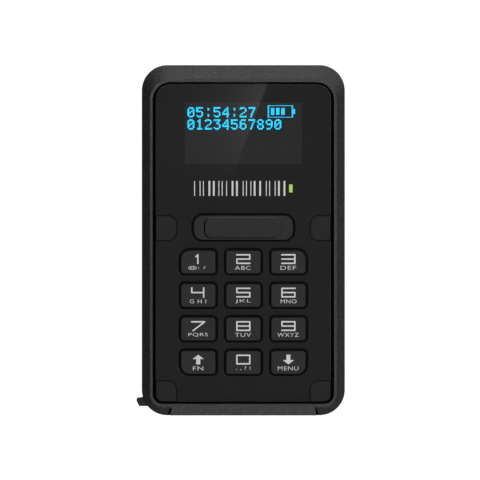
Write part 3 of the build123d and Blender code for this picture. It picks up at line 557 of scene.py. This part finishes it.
# characters of 8 by 12 cells
DIGIT_CELLS = {
    "0": ("..####..", ".######.", "##....##", "##...###", "##..####", "##.##.##",
          "####..##", "###...##", "##....##", "##....##", ".######.", "..####.."),
    "1": ("...##...", "..###...", ".####...", "...##...", "...##...", "...##...",
          "...##...", "...##...", "...##...", "...##...", ".######.", ".######."),
    "2": (".#####..", "#######.", "##....##", "......##", "......##", ".....##.",
          "...###..", "..##....", ".##.....", "##......", "########", "########"),
    "3": ("########", "########", ".....##.", "....##..", "...###..", "...####.",
          "......##", "......##", "......##", "##....##", ".######.", "..####.."),
    "4": (".....##.", "....###.", "...####.", "..##.##.", "..##.##.", ".##..##.",
          "##...##.", "########", "########", ".....##.", ".....##.", ".....##."),
    "5": ("########", "########", "##......", "##......", "######..", "#######.",
          "......##", "......##", "......##", "##....##", ".######.", "..####.."),
    "6": ("..#####.", ".######.", "##......", "##......", "######..", "#######.",
          "##....##", "##....##", "##....##", "##....##", ".######.", "..####.."),
    "7": ("########", "########", "......##", ".....##.", ".....##.", "....##..",
          "....##..", "...##...", "...##...", "...##...", "..##....", "..##...."),
    "8": ("..####..", ".######.", "##....##", "##....##", ".##..##.", "..####..",
          ".######.", "##....##", "##....##", "##....##", ".######.", "..####.."),
    "9": ("..####..", ".######.", "##....##", "##....##", "##....##", ".#######",
          "..######", "......##", "......##", ".....##.", ".#####..", ".####..."),
    ":": ("........", "...##...", "...##...", "...##...", "........", "........",
          "........", "........", "...##...", "...##...", "...##...", "........"),
}
CHARACTER_PITCH = 10
FIRST_LINE = 2
SECOND_LINE = 16
BATTERY_AT = (25.26 * MM, 0.03 * MM)
BATTERY_SIZE = (7.97 * MM, 3.85 * MM)
BATTERY_WALL = (0.41 * MM, 0.2 * MM)
BATTERY_TIP = (0.64 * MM, 1.64 * MM)
BATTERY_BARS = 3
BATTERY_BAR = (1.05 * MM, 2.2 * MM)
BATTERY_FIRST_BAR = 1.01 * MM
BATTERY_BAR_PITCH = 1.64 * MM


def text_cells(text, first_row):
    """The lit cells of a line of text, as (column, row) counted from the top left."""
    for place, character in enumerate(text):
        for row, cells in enumerate(DIGIT_CELLS[character]):
            for column, cell in enumerate(cells):
                if cell == "#":
                    yield place * CHARACTER_PITCH + column, first_row + row


def battery_outlines(left, top):
    """The battery sign: its case of four walls, its tip, and its bars."""
    right, low = left + BATTERY_SIZE[0], top - BATTERY_SIZE[1]
    wall_x, wall_y = BATTERY_WALL
    middle = (top + low) / 2
    tip_width, tip_height = BATTERY_TIP
    bar_width, bar_height = BATTERY_BAR
    yield box_outline(left, top - wall_y, right, top)
    yield box_outline(left, low, right, low + wall_y)
    yield box_outline(left, low + wall_y, left + wall_x, top - wall_y)
    yield box_outline(right - wall_x, low + wall_y, right, top - wall_y)
    yield box_outline(right, middle - tip_height / 2, right + tip_width, middle + tip_height / 2)
    for bar in range(BATTERY_BARS):
        x = left + BATTERY_FIRST_BAR + bar * BATTERY_BAR_PITCH
        yield box_outline(x, middle - bar_height / 2, x + bar_width, middle + bar_height / 2)


def make_display_text():
    """The clock, a line of digits and the battery sign, cell by cell, on the display's glass."""
    left = (WINDOW_LOW.x + WINDOW_HIGH.x) / 2 - TEXT_LEFT
    top = (WINDOW_LOW.y + WINDOW_HIGH.y) / 2 + TEXT_TOP
    cells = [*text_cells("05:54:27", FIRST_LINE), *text_cells("01234567890", SECOND_LINE)]
    size = CELL * LIT_SHARE
    outlines = []
    for column, row in cells:
        x = left + column * CELL
        y = top - (row + 1) * CELL
        outlines.append(box_outline(x, y, x + size, y + size))
    low = GLASS_TOP - LIT_SINK
    raised("display_characters", outlines, low, LIT_THICKNESS, LIT, "housing")
    battery = [*battery_outlines(left + BATTERY_AT[0], top - BATTERY_AT[1])]
    raised("display_battery", battery, low, LIT_THICKNESS, DIM_LIT, "housing")


# ---------------------------------------------------------------- printed emblem and label

EMBLEM_WIDTH = 31.0 * MM
EMBLEM_HEIGHT = 4.7 * MM
EMBLEM_ABOVE_BUTTON = 12.42 * MM
EMBLEM_MODULES = 84
EMBLEM_SHARE = 0.82
ACCENT_WIDTH = 1.1 * MM
ACCENT_HEIGHT = 2.5 * MM
ACCENT_GAP = 0.7 * MM


def bar_outlines(left, right, low, high, modules, share=1.0):
    """Upright bars of one or two modules, in the manner of a bar code that says nothing.

    The widths and the gaps come round in short cycles. A share under 1 thins every bar."""
    unit = (right - left) / modules
    outlines = []
    place = turn = 0
    while place < modules:
        bar = min(1 + (turn * turn + 3 * turn) % 5 % 2, modules - place)
        outlines.append(box_outline(left + place * unit, low, left + (place + bar * share) * unit, high))
        place += bar + 2 + (turn * 5 + 2) % 7 % 3
        turn += 1
    return outlines


def make_emblem():
    """A plain row of bars and a short green one, printed on the panel over the scan button."""
    y = (BUTTON_LOW.y + BUTTON_HIGH.y) / 2 + EMBLEM_ABOVE_BUTTON
    low, high = y - EMBLEM_HEIGHT / 2, y + EMBLEM_HEIGHT / 2
    right = EMBLEM_WIDTH / 2
    z = PANEL_HIGH.z - LEGEND_THICKNESS / 2
    bars_right = right - ACCENT_GAP - ACCENT_WIDTH
    bars = bar_outlines(-right, bars_right, low, high, EMBLEM_MODULES, EMBLEM_SHARE)
    raised("panel_emblem", bars, z, LEGEND_THICKNESS, INK, "housing")
    accent = box_outline(right - ACCENT_WIDTH, y - ACCENT_HEIGHT / 2, right, y + ACCENT_HEIGHT / 2)
    raised("panel_emblem_accent", [accent], z, LEGEND_THICKNESS, ACCENT_INK, "housing")


# black sheets of painted shade on the slot floors at each end of the port lip
SLOT_FLOOR_DROP = 3.3 * MM
SLOT_SHADE_SHEET_THICKNESS = 0.25 * MM
# corners in millimetres, out from the middle line and up from the lower end
SLOT_SHADE_SHEET = [(22.49, 2.5), (22.84, 2.5), (23.96, 0.02), (23.1, 0.02)]


def make_slot_shade_sheets():
    """Painted shade: a black sheet on the floor of the slot at each end of the lip over the port, where the
    slot is in shade.
    """
    outlines = [[(side * x * MM, HOUSING_LOW.y + y * MM) for x, y in SLOT_SHADE_SHEET] for side in (-1, 1)]
    z = HOUSING_HIGH.z - SLOT_FLOOR_DROP
    # the mat's near-black silicone finish, used here as painted shade
    shade_sheet_finish = MATERIALS["silicone"].material
    raised("slot_shade_sheets", outlines, z, SLOT_SHADE_SHEET_THICKNESS, shade_sheet_finish, "housing")


LABEL_INSET = 1.4 * MM
LABEL_RULE = 0.2 * MM
LABEL_BARS_INSET = (3 * MM, 2 * MM)
LABEL_MODULES = 80
LABEL_PRINT_RISE = 0.01 * MM


def make_label_print():
    """A ruled frame and a patch of bars on the rear label, facing the rear."""
    rule = LABEL_RULE
    left, right = LABEL_LOW.x + LABEL_INSET, LABEL_HIGH.x - LABEL_INSET
    low, high = LABEL_LOW.y + LABEL_INSET, LABEL_HIGH.y - LABEL_INSET
    middle = (low + high) / 2
    outlines = [
        box_outline(left, high - rule, right, high),
        box_outline(left, low, right, low + rule),
        box_outline(left, low + rule, left + rule, high - rule),
        box_outline(right - rule, low + rule, right, high - rule),
        box_outline(left + rule, middle, right - rule, middle + rule),
    ]
    in_x, in_y = LABEL_BARS_INSET
    outlines += bar_outlines(left + in_x, right - in_x, low + in_y, middle - in_y, LABEL_MODULES)
    dark = moulded("label_ink", grey(0.02), 0.5, 0.3 * MM, 0.001 * MM).material
    z = LABEL_LOW.z - LABEL_PRINT_RISE
    raised("label_print", outlines, z, LEGEND_THICKNESS, dark, "housing")


# ---------------------------------------------------------------- floor, lights and camera

VIEW_CENTRE = (-1.05 * MM, 0.05 * MM)
VIEW_HEIGHT = 0.1512
LENS = 500.0
SENSOR = 36.0
CAMERA_DISTANCE = VIEW_HEIGHT / SENSOR * LENS
CAMERA_CLIP = (0.01, 20.0)


def make_camera():
    """A long lens straight above the front face, as near as makes no matter to a parallel view."""
    data = bpy.data.cameras.new("camera")
    data.lens = LENS
    data.sensor_width = SENSOR
    data.clip_start, data.clip_end = CAMERA_CLIP
    camera = bpy.data.objects.new("camera", data)
    camera.location = (*VIEW_CENTRE, PANEL_HIGH.z + CAMERA_DISTANCE)
    bpy.context.scene.collection.objects.link(camera)
    bpy.context.scene.camera = camera


FLOOR_GAP = 0.05 * MM
FLOOR_SIZE = 6
FLOOR_GLOW = 0.97


def make_floor():
    """A plain white floor. It lights nothing, so that the black object keeps its dark sides,
    and it is clear from below, so that the object's rear can be seen."""
    bpy.ops.mesh.primitive_plane_add(size=FLOOR_SIZE, location=(0, 0, -FLOOR_GAP))
    floor = bpy.context.object
    floor.name = "floor"
    floor.visible_glossy = False
    floor.visible_diffuse = False
    finish = Finish("floor_paper")
    finish.colour(finish.ramp(finish.noise(0.4), (0.3, grey(0.15)), (0.7, grey(0.16))))
    finish.set(Emission_Color=(1, 1, 1, 1), Emission_Strength=FLOOR_GLOW, Roughness=1.0)
    finish.give_way(finish.add("ShaderNodeNewGeometry").outputs["Backfacing"])
    floor.data.materials.append(finish.material)


WORLD_GLOW = 0.018


def make_world():
    """A dim surround for the object, and a pale one for the camera."""
    world = bpy.data.worlds.new("world")
    bpy.context.scene.world = world
    world.use_nodes = True
    tree = world.node_tree
    dim = tree.nodes["Background"]
    dim.inputs["Color"].default_value = (1, 1, 1, 1)
    dim.inputs["Strength"].default_value = WORLD_GLOW
    pale = tree.nodes.new("ShaderNodeBackground")
    pale.inputs["Color"].default_value = (1, 1, 1, 1)
    pale.inputs["Strength"].default_value = 1.0
    path = tree.nodes.new("ShaderNodeLightPath")
    mix = tree.nodes.new("ShaderNodeMixShader")
    tree.links.new(path.outputs["Is Camera Ray"], mix.inputs["Fac"])
    tree.links.new(dim.outputs["Background"], mix.inputs[1])
    tree.links.new(pale.outputs["Background"], mix.inputs[2])
    tree.links.new(mix.outputs["Shader"], tree.nodes["World Output"].inputs["Surface"])


LIGHT_DISTANCE = 0.92
SOFTBOXES = [
    # name, azimuth (0 toward +Y, 90 toward +X), elevation, width, height, power, shows in the gloss
    ("over_scan_end", 0, 70, 0.8, 0.2, 1.32, True),
    ("over_left", 270, 75, 0.8, 0.2, 0.94, True),
    ("over_right", 90, 75, 0.8, 0.2, 1.70, True),
    ("right_high", 60, 40, 0.6, 0.4, 2.68, True),
    ("right_low", 135, 15, 0.6, 0.4, 2.2, False),
    ("scan_end_low", 2, 5, 0.9, 0.12, 4.5, True),
    ("port_end_low", 180, 15, 0.6, 0.4, 2.1, False),
    ("port_corner", 200, 4, 0.2, 0.2, 2.9, False),
]


def make_softboxes():
    """Soft rectangular lights, aimed at the object. Three of the low ones are kept out of the gloss,
    where they would turn the panel white when it is seen from the far side."""
    for name, azimuth, elevation, width, height, power, mirrored in SOFTBOXES:
        a, e = math.radians(azimuth), math.radians(elevation)
        away = Vector((math.sin(a) * math.cos(e), math.cos(a) * math.cos(e), math.sin(e)))
        data = bpy.data.lights.new(name, "AREA")
        data.shape = "RECTANGLE"
        data.size = width
        data.size_y = height
        data.energy = power
        light = bpy.data.objects.new(name, data)
        light.location = away * LIGHT_DISTANCE
        light.rotation_mode = "QUATERNION"
        light.rotation_quaternion = away.to_track_quat("Z", "Y")
        light.visible_camera = False
        light.visible_glossy = mirrored
        bpy.context.scene.collection.objects.link(light)


# the card's height over the panel, and the slanted edge as it shows in the panel
GLARE_HEIGHT = 0.12
GLARE_EDGE_TOP = (7.46 * MM, 49.03 * MM)
GLARE_EDGE_LOW = (-4.4 * MM, 17.5 * MM)
GLARE_MARGIN = (1.2 * MM, 0.4 * MM)
GLARE_REACH = 10.4 * MM
GLARE_FULL_DROP = 5 * MM
GLARE_FALL = 1.15
GLARE_STRENGTH = 0.68


def make_glare_card():
    """A card of light over the panel's upper left, whose slanted edge shows in the gloss."""
    grow = 1 + GLARE_HEIGHT / CAMERA_DISTANCE

    def above(x, y):
        """The place on the card that shows at a place on the panel."""
        middle_x, middle_y = VIEW_CENTRE
        return (middle_x + (x - middle_x) * grow, middle_y + (y - middle_y) * grow)

    (edge_top_x, edge_top_y), (edge_low_x, low) = GLARE_EDGE_TOP, GLARE_EDGE_LOW
    slope = (edge_top_x - edge_low_x) / (edge_top_y - low)
    left = PANEL_LOW.x + GLARE_MARGIN[0]
    high = PANEL_HIGH.y - GLARE_MARGIN[1]
    edge_high = edge_top_x + (high - edge_top_y) * slope
    corners = [above(left, low), above(edge_low_x, low), above(edge_high, high), above(left, high)]
    mesh = bpy.data.meshes.new("glare_card")
    z = PANEL_HIGH.z + GLARE_HEIGHT
    mesh.from_pydata([(x, y, z) for x, y in corners], [], [(3, 2, 1, 0)])
    card = bpy.data.objects.new("glare_card", mesh)
    bpy.context.scene.collection.objects.link(card)
    for ray in ("camera", "diffuse", "shadow", "transmission"):
        setattr(card, "visible_" + ray, False)
    card.data.materials.append(make_glare_material(above, slope, low, high))


def make_glare_material(above, slope, low, high):
    """Light that fades away from the slanted edge, and toward the lower end."""
    material = bpy.data.materials.new("glare_light")
    material.use_nodes = True
    tree = material.node_tree
    tree.nodes.clear()

    def maths(operation, *values):
        node = tree.nodes.new("ShaderNodeMath")
        node.operation = operation
        for socket, value in zip(node.inputs, values):
            if isinstance(value, float):
                socket.default_value = value
            else:
                tree.links.new(value, socket)
        return node.outputs[0]

    place = tree.nodes.new("ShaderNodeTexCoord").outputs["Object"]
    split = tree.nodes.new("ShaderNodeSeparateXYZ")
    tree.links.new(place, split.inputs["Vector"])
    x, y = split.outputs["X"], split.outputs["Y"]
    edge_x, edge_y = above(*GLARE_EDGE_LOW)
    behind = maths("SUBTRACT", maths("MULTIPLY_ADD", maths("SUBTRACT", y, edge_y), slope, edge_x), x)
    across = maths("EXPONENT", maths("DIVIDE", behind, -GLARE_REACH))
    bottom, top = above(0, low)[1], above(0, high - GLARE_FULL_DROP)[1]
    rise = maths("DIVIDE", maths("SUBTRACT", y, bottom), top - bottom)
    along = maths("POWER", maths("MAXIMUM", maths("MINIMUM", rise, 1.0), 0.0), GLARE_FALL)
    strength = maths("MULTIPLY", maths("MULTIPLY", across, along), GLARE_STRENGTH)
    light = tree.nodes.new("ShaderNodeEmission")
    tree.links.new(strength, light.inputs["Strength"])
    clear = tree.nodes.new("ShaderNodeBsdfTransparent")
    both = tree.nodes.new("ShaderNodeAddShader")
    tree.links.new(light.outputs["Emission"], both.inputs[0])
    tree.links.new(clear.outputs["BSDF"], both.inputs[1])
    output = tree.nodes.new("ShaderNodeOutputMaterial")
    tree.links.new(both.outputs["Shader"], output.inputs["Surface"])
    return material


# ---------------------------------------------------------------- the scene

make_camera()
dress_frame()
for key_name in WORDS:
    make_key_legend(key_name)
make_display_text()
make_emblem()
make_slot_shade_sheets()
make_label_print()
make_floor()
make_world()
make_softboxes()
make_glare_card()
bpy.context.scene.view_settings.view_transform = "Standard"
